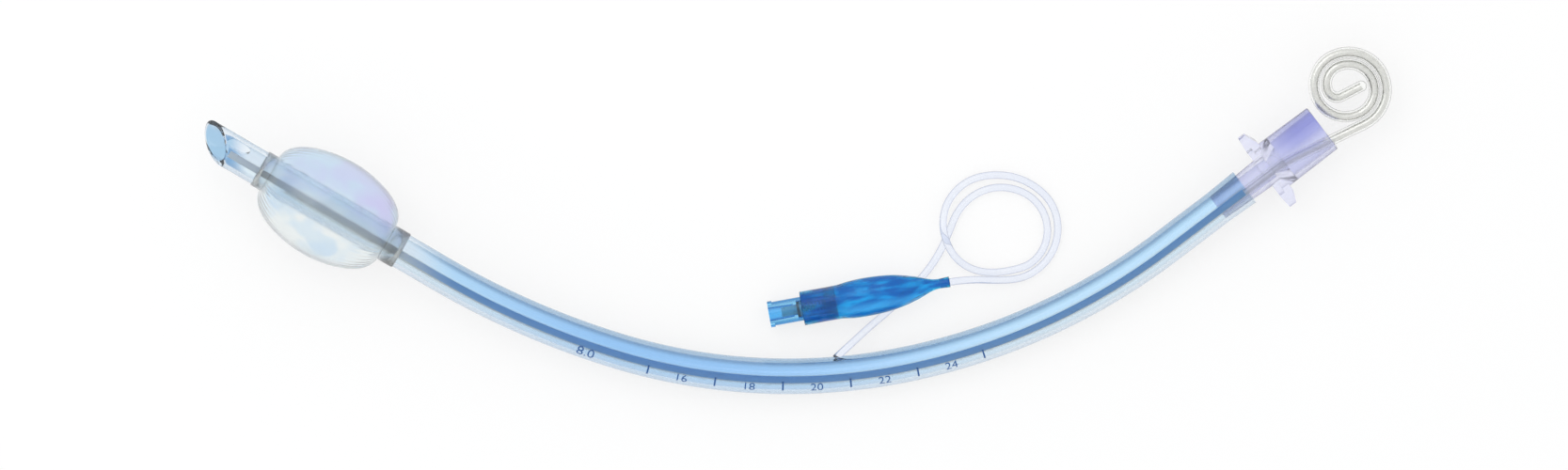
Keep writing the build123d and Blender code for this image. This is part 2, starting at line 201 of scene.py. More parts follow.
class Recipe:
    """A material's nodes, round one Principled shader."""

    def __init__(self, name):
        self.material = bpy.data.materials.new(name)
        self.material.use_nodes = True
        self.tree = self.material.node_tree
        self.shader = self.tree.nodes["Principled BSDF"]
        self.output = self.tree.nodes["Material Output"]

    def node(self, kind, settings=None, inputs=None, output=0):
        made = self.tree.nodes.new("ShaderNode" + kind)
        for name, value in (settings or {}).items():
            setattr(made, name, value)
        for key, value in (inputs or {}).items():
            self.feed(made.inputs[key], value)
        return Value(self, made.outputs[output])

    def feed(self, socket, value):
        if isinstance(value, Value):
            self.tree.links.new(value.socket, socket)
        else:
            socket.default_value = value

    def maths(self, operation, *terms):
        return self.node("Math", {"operation": operation}, dict(enumerate(terms)))

    def mix(self, first, second, share):
        """Colour between two others."""
        return self.node("Mix", {"data_type": "RGBA"}, {0: share, 6: first, 7: second}, output=2)

    def place(self):
        """The point of the surface, in metres on the object's own axes."""
        return self.node("TexCoord", output="Object")

    def noise(self, grain, detail=2.0):
        """Noise with a grain of that many metres."""
        return self.node(
            "TexNoise", inputs={"Vector": self.place(), "Scale": 1 / grain, "Detail": detail}
        )

    def rim(self, low, high):
        """0 where the surface faces the eye, 1 where it is seen along the wall."""
        facing = self.node("LayerWeight", inputs={"Blend": 0.5}, output="Facing")
        return facing.ramp(low, high)

    def bump(self, height, depth):
        """Normal for a relief of that depth in metres."""
        return self.node("Bump", inputs={"Height": height, "Distance": depth})

    def finish(self, **settings):
        """Sets the shader's own sockets, named with underscores for spaces."""
        for name, value in settings.items():
            self.feed(self.shader.inputs[name.replace("_", " ").replace("IOR level", "IOR Level")], value)
        return self.material


def paint(red, green, blue):
    """Colour as a paint chart gives it, 0 to 255, made linear."""
    chart = (red / 255, green / 255, blue / 255)
    return (*(c / 12.92 if c < 0.04 else ((c + 0.055) / 1.055) ** 2.4 for c in chart), 1.0)


print("shader arithmetic ready")

# %% [markdown]
# ## The line of the shaft
#
# Print, stripe and tints follow the shaft, which is two straight ends and three bends in a
# plane that leans a little on the table. A walk along those runs gives the point and the
# heading at any distance from the tip, so that a mark can be placed as a printer would.

# %% The line of the shaft
shaft_origin = Vector((-3.1, -46.4, 5.92839)) * mm
shaft_x = Vector((0.999611, 0.0, -0.027895))
shaft_y = Vector((0.003211, 0.993351, 0.115076))
shaft_up = shaft_x.cross(shaft_y)
shaft_radius = 5.35 * mm
bore_radius = 4.0 * mm
tip_place = (-174.554 * mm, 72.677 * mm)
shaft_headings = [radians(h) for h in (-30.5, -30.5, -17.3, 11.0, 37.5, 37.5)]
bend_radii = [None, 250 * mm, 173 * mm, 190 * mm, None]
straight_lengths = [81.9 * mm, None, None, None, 29.2 * mm]
run_lengths = [
    straight or radius * (after - before)
    for straight, radius, before, after in zip(
        straight_lengths, bend_radii, shaft_headings, shaft_headings[1:]
    )
]
shaft_length = sum(run_lengths)


def walk(distance):
    """Point of the shaft's line in its plane, and its heading there."""
    x, y = tip_place
    left = distance
    for length, radius, heading in zip(run_lengths, bend_radii, shaft_headings):
        step = left if length is run_lengths[-1] else min(left, length)
        if radius:
            turned = heading + step / radius
            x += radius * (sin(turned) - sin(heading))
            y += radius * (cos(heading) - cos(turned))
            heading = turned
        else:
            x += step * cos(heading)
            y += step * sin(heading)
        left -= step
        if left <= 0:
            break
    return x, y, heading


def lie(x, y):
    """A direction in the plane of the shaft."""
    return shaft_x * x + shaft_y * y


def on_shaft(distance, angle, radius):
    """Point round the shaft's line: angle 0 is up, and it grows to the inside of the bend."""
    x, y, heading = walk(distance)
    side = lie(-sin(heading), cos(heading))
    return shaft_origin + lie(x, y) + side * (radius * sin(angle)) + shaft_up * (radius * cos(angle))


print("shaft", round(shaft_length / mm, 1), "mm along its line, tip at", [round(c / mm, 1) for c in on_shaft(0, 0, 0)])

# %% [markdown]
# ## Meshes from rings
#
# Cuff and pilot balloon are both blown film sleeves. A sleeve has an outer and an inner
# surface that meet at its two ends, so its rings of points make one closed loop. That gives
# the film a true thickness, which light needs to pass through it as through the real one.


# %% Meshes from rings
def sleeve(name, rings):
    """Closed mesh from rings of points, the last joined to the first."""
    count = len(rings[0])
    faces = []
    for ring in range(len(rings)):
        following = (ring + 1) % len(rings)
        for index in range(count):
            beside = (index + 1) % count
            faces.append(
                (
                    ring * count + index,
                    ring * count + beside,
                    following * count + beside,
                    following * count + index,
                )
            )
    mesh = bpy.data.meshes.new(name)
    mesh.from_pydata([tuple(point) for ring in rings for point in ring], [], faces)
    work = bmesh.new()
    work.from_mesh(mesh)
    bmesh.ops.recalc_face_normals(work, faces=work.faces)
    work.to_mesh(mesh)
    work.free()
    mesh.shade_smooth()
    piece = bpy.data.objects.new(name, mesh)
    scene.collection.objects.link(piece)
    return piece


def between(stops, place):
    """Value at a place in a table of (place, value), smooth from one stop to the next."""
    for (start, first), (stop, last) in zip(stops, stops[1:]):
        if place <= stop:
            share = max(0.0, (place - start) / (stop - start))
            share = share * share * (3 - 2 * share)
            return first + (last - first) * share
    return stops[-1][1]


# %% [markdown]
# ## Clear shaft
#
# The shaft is clear, so light is bent by its outside and again by its bore, and every facet of
# a mesh shows as a ripple. The piece is therefore laid again with fine, even rings that follow
# the same line and sizes as the CAD model. At the tip each ring is slanted until it lies in
# the bevel. The lumen in the wall, its port, the eye and the socket of the line are cut out.

# %% Clear shaft
flare_radius = 5.7 * mm
flare_length = 10.0 * mm
insert_growth = 0.417 * mm
fit_gap = 0.02 * mm
bevel = radians(45)
bevel_turn = radians(38)
edge_round = 0.45 * mm
shaft_sides = 96
even_start = 20.0 * mm
bend_step = 1.6 * mm
round_steps = 4
angles = [2 * pi * side / shaft_sides for side in range(shaft_sides)]


def rim(radius, angle):
    """Distance from the tip at which the bevel cuts a wall of that radius."""
    return (shaft_radius + radius * cos(angle + bevel_turn)) / tan(bevel)


def flare(distance, radius, growth):
    """Radius of a wall that widens over the connector's insert."""
    return radius + growth * max(0.0, distance - shaft_length + flare_length) / flare_length


def eased(corner, first, last, share):
    """Point on a small curve that rounds a corner between two directions."""
    start, stop = corner + first * edge_round, corner + last * edge_round
    return start * (1 - share) ** 2 + corner * 2 * share * (1 - share) + stop * share**2


def rim_ring(share, part):
    """Ring in the round of the rim: part 0 is its outer edge and part 1 its inner edge."""
    ring = []
    for angle in angles:
        outer = Vector((rim(shaft_radius, angle), shaft_radius))
        inner = Vector((rim(bore_radius, angle), bore_radius))
        inward = (inner - outer).normalized()
        back = Vector((1, 0))
        spot = eased(inner, -inward, back, share) if part else eased(outer, back, inward, share)
        ring.append(on_shaft(spot[0], angle, spot[1]))
    return ring


def slanted_ring(share, radius):
    """Ring between the bevel, at 0, and the first ring that stands square, at 1."""
    ring = []
    for angle in angles:
        start = rim(radius, angle) + edge_round
        ring.append(on_shaft(start + (even_start - start) * share, angle, radius))
    return ring


straight_end = run_lengths[0]
bends_end = shaft_length - run_lengths[-1]
bend_rings = round((bends_end - straight_end) / bend_step)
distances = [even_start + (straight_end - even_start) * step / 8 for step in range(8)]
distances += [straight_end + (bends_end - straight_end) * step / bend_rings for step in range(bend_rings + 1)]
distances += [bends_end + (shaft_length - flare_length - bends_end) * step / 4 for step in range(1, 5)]
distances += [shaft_length - flare_length * (1 - step / 5) for step in range(1, 6)]
wall_growth = flare_radius - shaft_radius
shaft_rings = [
    [on_shaft(distance, angle, flare(distance, shaft_radius, wall_growth)) for angle in angles]
    for distance in reversed(distances)
]
shaft_rings += [slanted_ring(share / 5, shaft_radius) for share in range(4, 0, -1)]
shaft_rings += [rim_ring(step / round_steps, 0) for step in range(round_steps + 1)]
shaft_rings += [rim_ring(step / round_steps, 1) for step in range(round_steps + 1)]
shaft_rings += [slanted_ring(share / 5, bore_radius) for share in range(1, 5)]
shaft_rings += [
    [on_shaft(distance, angle, flare(distance, bore_radius + fit_gap, insert_growth)) for angle in angles]
    for distance in distances
]
clear_shaft = sleeve("clear_shaft", shaft_rings)
print("shaft,", len(clear_shaft.data.polygons), "faces before it is cut")

# %% Cuts in the shaft
lumen_offset = 4.675 * mm
lumen_radius = 0.45 * mm
port_distance = 32.3 * mm
lumen_start = port_distance - 3.0 * mm
line_exit = run_lengths[0] + run_lengths[1] + bend_radii[2] * (radians(5.0) - shaft_headings[2])
eye_distance = 12.0 * mm
socket_radius = line_diameter / 2 + fit_gap
socket_reach = 8.0 * mm


def settle(piece):
    """Turns a piece with modifiers into a plain mesh."""
    shown = piece.evaluated_get(bpy.context.evaluated_depsgraph_get())
    mesh = bpy.data.meshes.new_from_object(shown)
    name = piece.name
    bpy.data.objects.remove(piece)
    plain = bpy.data.objects.new(name, mesh)
    scene.collection.objects.link(plain)
    return plain


def rod(name, rings):
    """Closed mesh from rings of points, with a cap on each end."""
    piece = sleeve(name, rings)
    count = len(rings[0])
    work = bmesh.new()
    work.from_mesh(piece.data)
    work.faces.ensure_lookup_table()
    bmesh.ops.delete(work, geom=work.faces[-count:], context="FACES_ONLY")
    bmesh.ops.holes_fill(work, edges=work.edges)
    bmesh.ops.recalc_face_normals(work, faces=work.faces)
    work.to_mesh(piece.data)
    work.free()
    return piece


def slot_rod(name, middle, length_way, width_way, length, width, depth):
    """Cutter for a slot with round ends, that goes down from its middle by depth."""
    outline = []
    for step in range(32):
        angle = 2 * pi * (step + 0.5) / 32
        shift = (length - width) / 2 * (1 if cos(angle) > 0 else -1)
        outline.append(
            length_way * (shift + width / 2 * cos(angle)) + width_way * (width / 2 * sin(angle))
        )
    return rod(name, [[middle + point for point in outline], [middle + depth + point for point in outline]])


def cut(piece, cutter):
    """Takes the cutter's shape out of the piece."""
    modifier = piece.modifiers.new("cut", "BOOLEAN")
    modifier.operation = "DIFFERENCE"
    modifier.solver = "EXACT"
    modifier.object = cutter
    piece = settle(piece)
    bpy.data.objects.remove(cutter)
    return piece


tip = on_shaft(0, 0, 0)
tip_way = lie(cos(shaft_headings[0]), sin(shaft_headings[0]))
tip_side = shaft_up.cross(tip_way)
bevel_facing = shaft_up * cos(bevel_turn) - tip_side * sin(bevel_turn)
eye_cutter = slot_rod(
    "eye", tip + tip_way * eye_distance, tip_way, bevel_facing.cross(tip_way), 7 * mm, 5 * mm, -bevel_facing * 9 * mm
)
port_cutter = slot_rod(
    "port", tip + tip_way * port_distance + tip_side * lumen_offset, tip_way, shaft_up, 3 * mm, 1 * mm, tip_side * 2 * mm
)
lumen_steps = round((line_exit - lumen_start) / (2 * bend_step))
lumen_rings = []
for step in range(lumen_steps + 1):
    distance = lumen_start + (line_exit - lumen_start) * step / lumen_steps
    middle = on_shaft(distance, pi / 2, lumen_offset)
    side = (middle - on_shaft(distance, 0, 0)).normalized()
    lumen_rings.append(
        [
            middle + (side * cos(2 * pi * turn / 12) + shaft_up * sin(2 * pi * turn / 12)) * lumen_radius
            for turn in range(12)
        ]
    )
line_start = Vector(line_points[0]) * mm
line_way = (Vector(line_points[1]) * mm - line_start).normalized()
line_across = line_way.cross(shaft_up).normalized()
line_over = line_across.cross(line_way)
socket_rings = [
    [
        line_start + line_way * reach + (line_across * cos(a) + line_over * sin(a)) * socket_radius
        for a in [2 * pi * turn / 32 for turn in range(32)]
    ]
    for reach in (0.0, socket_reach)
]
for cutter in (rod("lumen", lumen_rings), port_cutter, eye_cutter, rod("socket", socket_rings)):
    clear_shaft = cut(clear_shaft, cutter)
clear_shaft.data.shade_smooth()
clear_shaft.data.set_sharp_from_angle(angle=radians(35))
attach(clear_shaft, "tube")
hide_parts("tube_shaft")
print("shaft,", len(clear_shaft.data.polygons), "faces")

# %% [markdown]
# ## Cuff
#
# The cuff is a thin film blown to a barrel, with a collar bonded to the shaft at each end.
# Its outline is close to an ellipse. The film gathers into fine pleats where it is drawn in
# to the collars, and they fade out over the first third of the barrel.

# %% Cuff
cuff_start, cuff_end = 23.6 * mm, 63.9 * mm
cuff_radius = 15.55 * mm
collar_radius = 5.7 * mm
collar_ends = (20.4 * mm, 68.9 * mm)
film = 0.22 * mm
bond_gap = 0.02 * mm
cuff_roundness = 1.95
pleats = 46
pleat_depth = 0.10 * mm
cuff_sides = 184
cuff_steps = 72


def barrel(step, inset):
    """Distance along the shaft and radius of the film, from one collar to the other."""
    angle = pi * step / cuff_steps
    reach = abs(cos(angle)) ** (2 / cuff_roundness) * (1 if cos(angle) > 0 else -1)
    swell = sin(angle) ** (2 / cuff_roundness)
    middle, half = (cuff_start + cuff_end) / 2, (cuff_end - cuff_start) / 2 - inset
    base = collar_radius if inset == 0 else shaft_radius + bond_gap
    return middle - half * reach, base + (cuff_radius - inset - base) * swell, swell


def cuff_ring(distance, radius, pleat):
    ring = []
    for side in range(cuff_sides):
        angle = 2 * pi * side / cuff_sides
        fold = pleat * cos(pleats * angle) * (0.7 + 0.3 * cos(3 * angle + 1.0))
        ring.append(on_shaft(distance, angle, radius + fold))
    return ring


cuff_rings = [cuff_ring(collar_ends[0], collar_radius, 0)]
for step in range(cuff_steps + 1):
    distance, radius, swell = barrel(step, 0)
    depth = pleat_depth * max(0.0, swell * (1 - swell) * 4) ** 2
    cuff_rings.append(cuff_ring(distance, radius, depth))
cuff_rings.append(cuff_ring(collar_ends[1], collar_radius, 0))
cuff_rings.append(cuff_ring(collar_ends[1], shaft_radius + bond_gap, 0))
for step in range(cuff_steps, -1, -1):
    distance, radius, swell = barrel(step, film)
    depth = pleat_depth * max(0.0, swell * (1 - swell) * 4) ** 2
    cuff_rings.append(cuff_ring(distance, radius, depth))
cuff_rings.append(cuff_ring(collar_ends[0], shaft_radius + bond_gap, 0))
cuff_film = sleeve("cuff_film", cuff_rings)
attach(cuff_film, "tube")
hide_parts("cuff")
print("cuff,", len(cuff_film.data.polygons), "faces")

# %% [markdown]
# ## Pilot balloon
#
# A blue film sleeve, bonded over the body of the valve and drawn in round the line at its
# tail. It is flattened, because its two sides were welded together. The film creases where
# the round neck turns into the flat belly and again where the belly narrows to the tail.

# %% Pilot balloon
pilot = Vector((-8.8, -28.0, 4.78338)) * mm
pilot_axis = Vector((0.9834, 0.178714, 0.031411)).normalized()
pilot_side = Vector((-0.1788, 0.98389, 0.0)).normalized()
pilot_up = pilot_axis.cross(pilot_side)
balloon_ends = (10.0, 54.6)
balloon_width = [
    (10.0, 5.1), (20.8, 5.1), (25.0, 5.6), (31.0, 5.7), (38.0, 5.1), (44.5, 3.5), (50.0, 1.6), (54.6, 1.6),
]
balloon_height = [
    (10.0, 5.1), (20.8, 5.1), (25.0, 4.6), (31.0, 4.3), (38.0, 3.8), (44.5, 2.7), (50.0, 1.6), (54.6, 1.6),
]
balloon_wall = [(10.0, 0.48), (20.8, 0.48), (23.0, 0.25), (44.0, 0.25), (50.0, 0.48), (54.6, 0.48)]
neck_crease = [(20.8, 0.0), (22.8, 0.16), (27.0, 0.0)]
tail_crease = [(37.0, 0.0), (44.0, 0.20), (49.0, 0.0)]
balloon_sides = 120
balloon_steps = 90


def follow(stops, place):
    """Value at a place on a smooth curve through a table of stops."""
    for index in range(len(stops) - 1):
        (start, first), (stop, last) = stops[index], stops[index + 1]
        if place <= stop or index == len(stops) - 2:
            before = stops[index - 1] if index else None
            after = stops[index + 2] if index + 2 < len(stops) else None
            slope_in = (last - before[1]) / (stop - before[0]) if before else 0.0
            slope_out = (after[1] - first) / (after[0] - start) if after else 0.0
            span = stop - start
            t = (place - start) / span
            return (
                first * (2 * t**3 - 3 * t**2 + 1)
                + slope_in * span * (t**3 - 2 * t**2 + t)
                + last * (3 * t**2 - 2 * t**3)
                + slope_out * span * (t**3 - t**2)
            )
    return stops[-1][1]


def balloon_ring(distance, inset):
    half_width = follow(balloon_width, distance) - inset
    half_height = follow(balloon_height, distance) - inset
    ring = []
    for side in range(balloon_sides):
        angle = 2 * pi * side / balloon_sides
        fold = between(neck_crease, distance) * cos(14 * angle + 0.6) * (0.6 + 0.4 * cos(angle))
        fold += between(tail_crease, distance) * cos(6 * angle + 0.12 * distance)
        across = pilot_side * (half_width - abs(fold)) * cos(angle)
        rise = pilot_up * (half_height - abs(fold)) * sin(angle)
        ring.append(pilot + (pilot_axis * distance + across + rise) * mm)
    return ring


stations = [
    balloon_ends[0] + (balloon_ends[1] - balloon_ends[0]) * step / balloon_steps
    for step in range(balloon_steps + 1)
]
balloon_rings = [balloon_ring(distance, 0) for distance in stations]
balloon_rings += [balloon_ring(distance, between(balloon_wall, distance)) for distance in reversed(stations)]
balloon_film = sleeve("balloon_film", balloon_rings)
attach(balloon_film, "tube")
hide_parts("pilot_balloon")
print("pilot balloon,", len(balloon_film.data.polygons), "faces")

# %% [markdown]
# ## Valve spring
#
# The spring of the check valve is a wire wound on a helix, with its last half turns closed so
# that it stands square. It shortens as the plunger goes in, which a rigid piece can't do; here it
# is built at one length.

# %% Valve spring
coil_start, coil_end = 10.32 * mm, 16.98 * mm
coil_radius, coil_wire = 1.5 * mm, 0.14 * mm
coil_turns = 7
closed_turns = 0.75
coil_steps = 240
coil_sides = 12


def coil_frame(turn):
    """Middle of the wire after that many turns, and the way out from the spring's axis."""
    open_share = (turn - closed_turns) / (coil_turns - 2 * closed_turns)
    share = min(1.0, max(0.0, open_share))
    closed_start, closed_end = min(turn, closed_turns), max(0.0, turn - coil_turns + closed_turns)
    inner = coil_end - coil_start - 2 * coil_wire * (2 * closed_turns + 1)
    height = coil_wire * (1 + 2 * closed_start + 2 * closed_end) + share * inner
    out = pilot_side * cos(2 * pi * turn) + pilot_up * sin(2 * pi * turn)
    return pilot + pilot_axis * (coil_start + height) + out * coil_radius, out


coil_rings = []
for step in range(coil_steps + 1):
    middle, out = coil_frame(coil_turns * step / coil_steps)
    sides = [2 * pi * side / coil_sides for side in range(coil_sides)]
    coil_rings.append([middle + (out * cos(a) + pilot_axis * sin(a)) * coil_wire for a in sides])
spring_coil = rod("spring_coil", coil_rings)
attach(spring_coil, "tube")
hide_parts("valve_spring")
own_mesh(spring_coil)
print("spring,", len(spring_coil.data.polygons), "faces")

# %% [markdown]
# ## Radiopaque line
#
# A stripe of barium-filled plastic is extruded into the wall, so that the tube shows on an
# X-ray. It follows the shaft from end to end. Geometry Nodes sweep a small flat profile along
# a curve, with the width and thickness of the stripe as inputs.

# %% Radiopaque line
stripe_width = 2.0 * mm
stripe_thickness = 0.3 * mm
stripe_radius = 4.7 * mm
stripe_angle = radians(-5)
stripe_start, stripe_end = 10.2 * mm, 341.0 * mm
stripe_steps = 140


def group_input(tree, label, value):
    """A named size on a tree, and the socket that gives it."""
    made = tree.interface.new_socket(label, in_out="INPUT", socket_type="NodeSocketFloat")
    made.default_value = value
    return made.identifier


stripe_plastic = bpy.data.materials.new("blue barium-filled plastic")
stripe_tree = bpy.data.node_groups.new("stripe along a curve", "GeometryNodeTree")
stripe_tree.interface.new_socket("Curve", in_out="INPUT", socket_type="NodeSocketGeometry")
width_key = group_input(stripe_tree, "Width", stripe_width)
thickness_key = group_input(stripe_tree, "Thickness", stripe_thickness)
stripe_tree.interface.new_socket("Mesh", in_out="OUTPUT", socket_type="NodeSocketGeometry")
source = stripe_tree.nodes.new("NodeGroupInput")
result = stripe_tree.nodes.new("NodeGroupOutput")
profile = stripe_tree.nodes.new("GeometryNodeCurvePrimitiveQuadrilateral")
rounded = stripe_tree.nodes.new("GeometryNodeFilletCurve")
rounded.mode = "POLY"
rounded.inputs["Count"].default_value = 3
rounded.inputs["Radius"].default_value = 0.12 * mm
sweep = stripe_tree.nodes.new("GeometryNodeCurveToMesh")
sweep.inputs["Fill Caps"].default_value = True
painted = stripe_tree.nodes.new("GeometryNodeSetMaterial")
painted.inputs["Material"].default_value = stripe_plastic
realized = stripe_tree.nodes.new("GeometryNodeRealizeInstances")
for start, start_name, end, end_name in (
    (source, "Width", profile, "Width"),
    (source, "Thickness", profile, "Height"),
    (profile, "Curve", rounded, "Curve"),
    (rounded, "Curve", sweep, "Profile Curve"),
    (source, "Curve", sweep, "Curve"),
    (sweep, "Mesh", realized, "Geometry"),
    (realized, "Geometry", painted, "Geometry"),
    (painted, "Geometry", result, "Mesh"),
):
    stripe_tree.links.new(start.outputs[start_name], end.inputs[end_name])

stripe_curve = bpy.data.curves.new("radiopaque_line", "CURVE")
stripe_curve.dimensions = "3D"
stripe_curve.twist_mode = "Z_UP"
run = stripe_curve.splines.new("POLY")
run.points.add(stripe_steps)
for step, control in enumerate(run.points):
    distance = stripe_start + (stripe_end - stripe_start) * step / stripe_steps
    control.co = (*on_shaft(distance, stripe_angle, stripe_radius), 1)
radiopaque_line = bpy.data.objects.new("radiopaque_line", stripe_curve)
scene.collection.objects.link(radiopaque_line)
stripe_modifier = radiopaque_line.modifiers.new("stripe", "NODES")
stripe_modifier.node_group = stripe_tree
stripe_modifier[width_key] = stripe_width
stripe_modifier[thickness_key] = stripe_thickness
radiopaque_line = settle(radiopaque_line)
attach(radiopaque_line, "tube")
print("radiopaque line,", len(radiopaque_line.data.polygons), "faces")

# %% [markdown]
# ## Depth marks
#
# The person who passes the tube reads from the print how deep it sits: a number at each even
# centimetre from the tip and a tick at each odd one. Each number is a text turned into a mesh,
# cut into narrow strips and then laid round the wall, as a pad printer does. The ticks are
# instances of one small arc, which Geometry Nodes set on points along the shaft.

# %% Numbers
ink_radius = shaft_radius + 0.03 * mm
ink_thickness = 0.03 * mm
number_size = 3.9 * mm
number_angle = radians(-34)
strip_width = 0.35 * mm


def printed(text, distance, size):
    """A number laid round the shaft, its middle at that distance from the tip."""
    font = bpy.data.curves.new("mark_" + text.replace(".", "_"), "FONT")
    font.body = text
    font.size = size
    font.align_x = "CENTER"
    font.align_y = "CENTER"
    font.resolution_u = 3
    writing = bpy.data.objects.new(font.name, font)
    scene.collection.objects.link(writing)
    writing = settle(writing)
    work = bmesh.new()
    work.from_mesh(writing.data)
    strips = round(size / strip_width)
    for strip in range(-strips, strips):
        everything = work.verts[:] + work.edges[:] + work.faces[:]
        bmesh.ops.bisect_plane(
            work, geom=everything, plane_co=(0, strip * strip_width, 0), plane_no=(0, 1, 0)
        )
    shell = bmesh.ops.extrude_face_region(work, geom=work.faces[:])
    raised = {vert for vert in shell["geom"] if isinstance(vert, bmesh.types.BMVert)}
    for vert in work.verts:
        radius = ink_radius if vert in raised else ink_radius - ink_thickness
        turn = number_angle + vert.co.y / shaft_radius
        vert.co = on_shaft(distance + vert.co.x, turn, radius)
    bmesh.ops.recalc_face_normals(work, faces=work.faces)
    work.to_mesh(writing.data)
    work.free()
    return writing


numbers = [printed("8.0", 131 * mm, 4.6 * mm)]
numbers += [printed(str(depth), depth * 10 * mm, number_size) for depth in range(16, 26, 2)]

# %% Ticks
tick_width = 0.5 * mm
tick_sweep = radians(34)
first_tick, last_tick = 150 * mm, 250 * mm
tick_count = 6
ink = bpy.data.materials.new("ink of the ticks")
tick_tree = bpy.data.node_groups.new("ticks along a curve", "GeometryNodeTree")
tick_tree.interface.new_socket("Curve", in_out="INPUT", socket_type="NodeSocketGeometry")
count_socket = tick_tree.interface.new_socket("Count", in_out="INPUT", socket_type="NodeSocketInt")
radius_key = group_input(tick_tree, "Radius", ink_radius)
sweep_key = group_input(tick_tree, "Sweep", tick_sweep)
tick_width_key = group_input(tick_tree, "Width", tick_width)
ink_key = group_input(tick_tree, "Thickness", ink_thickness * 2)
tick_tree.interface.new_socket("Mesh", in_out="OUTPUT", socket_type="NodeSocketGeometry")
source = tick_tree.nodes.new("NodeGroupInput")
result = tick_tree.nodes.new("NodeGroupOutput")
spots = tick_tree.nodes.new("GeometryNodeCurveToPoints")
spots.mode = "COUNT"
arc = tick_tree.nodes.new("GeometryNodeCurveArc")
arc.inputs["Resolution"].default_value = 14
arc.inputs["Start Angle"].default_value = -(radians(90) + number_angle) - tick_sweep / 2
bar = tick_tree.nodes.new("GeometryNodeCurvePrimitiveQuadrilateral")
band = tick_tree.nodes.new("GeometryNodeCurveToMesh")
band.inputs["Fill Caps"].default_value = True
placed = tick_tree.nodes.new("GeometryNodeInstanceOnPoints")
tick_real = tick_tree.nodes.new("GeometryNodeRealizeInstances")
tick_paint = tick_tree.nodes.new("GeometryNodeSetMaterial")
tick_paint.inputs["Material"].default_value = ink
for start, start_name, end, end_name in (
    (source, "Curve", spots, "Curve"),
    (source, "Count", spots, "Count"),
    (source, "Radius", arc, "Radius"),
    (source, "Sweep", arc, "Sweep Angle"),
    (source, "Width", bar, "Height"),
    (source, "Thickness", bar, "Width"),
    (arc, "Curve", band, "Curve"),
    (bar, "Curve", band, "Profile Curve"),
    (spots, "Points", placed, "Points"),
    (spots, "Rotation", placed, "Rotation"),
    (band, "Mesh", placed, "Instance"),
    (placed, "Instances", tick_real, "Geometry"),
    (tick_real, "Geometry", tick_paint, "Geometry"),
    (tick_paint, "Geometry", result, "Mesh"),
):
    tick_tree.links.new(start.outputs[start_name], end.inputs[end_name])

tick_curve = bpy.data.curves.new("depth_ticks", "CURVE")
tick_curve.dimensions = "3D"
tick_curve.twist_mode = "Z_UP"
run = tick_curve.splines.new("POLY")
run.points.add(60)
for step, control in enumerate(run.points):
    control.co = (*on_shaft(first_tick + (last_tick - first_tick) * step / 60, 0, 0), 1)
depth_ticks = bpy.data.objects.new("depth_ticks", tick_curve)
scene.collection.objects.link(depth_ticks)
tick_modifier = depth_ticks.modifiers.new("ticks", "NODES")
tick_modifier.node_group = tick_tree
tick_modifier[count_socket.identifier] = tick_count
tick_modifier[radius_key] = ink_radius
tick_modifier[sweep_key] = tick_sweep
tick_modifier[tick_width_key] = tick_width
tick_modifier[ink_key] = ink_thickness * 2
depth_ticks = settle(depth_ticks)
for piece in [depth_ticks] + numbers:
    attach(piece, "tube")
tick_heights = [(vert.co - shaft_origin).dot(shaft_up) / mm for vert in depth_ticks.data.vertices]
print("ticks", len(depth_ticks.data.polygons), "faces, heights", round(min(tick_heights), 2), round(max(tick_heights), 2))

# %% [markdown]
# ## Finishes
#
# Soft PVC is clear with a blue cast. The tint is written on the shader's base colour, and so is
# painted shade: the inside of the bend is painted a deeper blue as the side away from the light,
# the bore at the tip a darker blue and the edges of the wall a grey blue. The refraction of the
# real wall and bore does the rest.

# %% Shaft finish
pvc = Recipe("clear blue-cast PVC")


def dot(recipe, vector, axis):
    return recipe.node(
        "VectorMath", {"operation": "DOT_PRODUCT"}, {0: vector, 1: tuple(axis)}, output="Value"
    )


def shaft_offset(recipe):
    """How far a point lies from the shaft's line to the inside of the bend, in mm."""
    from_origin = recipe.node(
        "VectorMath", {"operation": "SUBTRACT"}, {0: recipe.place(), 1: tuple(shaft_origin)}
    )
    x = dot(recipe, from_origin, shaft_x / mm)
    y = dot(recipe, from_origin, shaft_y / mm)
    offset = None
    travelled = 0.0
    for length, radius, heading in zip(run_lengths, bend_radii, shaft_headings):
        start_x, start_y, _ = (c for c in walk(travelled))
        start_x, start_y = start_x / mm, start_y / mm
        ahead = (x - start_x) * cos(heading) + (y - start_y) * sin(heading)
        if radius:
            bend = radius / mm
            centre_x, centre_y = start_x - bend * sin(heading), start_y + bend * cos(heading)
            reach = ((x - centre_x) ** 2.0 + (y - centre_y) ** 2.0) ** 0.5
            here = bend - reach
        else:
            here = (y - start_y) * cos(heading) - (x - start_x) * sin(heading)
        if offset is None:
            offset = here
        else:
            past = recipe.maths("GREATER_THAN", ahead, 0.0)
            offset = offset * (1 - past) + here * past
        travelled += length
    return offset


def part_of(recipe, vector, name):
    """One coordinate of a point."""
    return recipe.node("SeparateXYZ", inputs={"Vector": vector}, output=name)


inside = shaft_offset(pvc)
lengthways = part_of(pvc, pvc.place(), "X")
middle_share = (lengthways * -1.0).ramp(-0.075, 0.02) * lengthways.ramp(-0.125, -0.05)
tip_share = (lengthways * -1.0).ramp(0.100, 0.118)
# Painted shade: the side toward the inside of the bend, away from the light, is painted a deeper blue than the other
# side. Both are deeper in a band part way along the shaft, and near the tip the deeper blue fades back to pale.
shaded_side_cast = pvc.mix(paint(218, 240, 255), paint(196, 227, 254), middle_share)
lit_side_cast = pvc.mix(paint(242, 250, 254), paint(220, 238, 253), middle_share)
shaded_side_cast = pvc.mix(shaded_side_cast, paint(236, 244, 251), tip_share)
cast = pvc.mix(lit_side_cast, shaded_side_cast, inside.ramp(-1.2, 0.8))
height = dot(
    pvc, pvc.node("VectorMath", {"operation": "SUBTRACT"}, {0: pvc.place(), 1: tuple(shaft_origin)}), shaft_up / mm
)
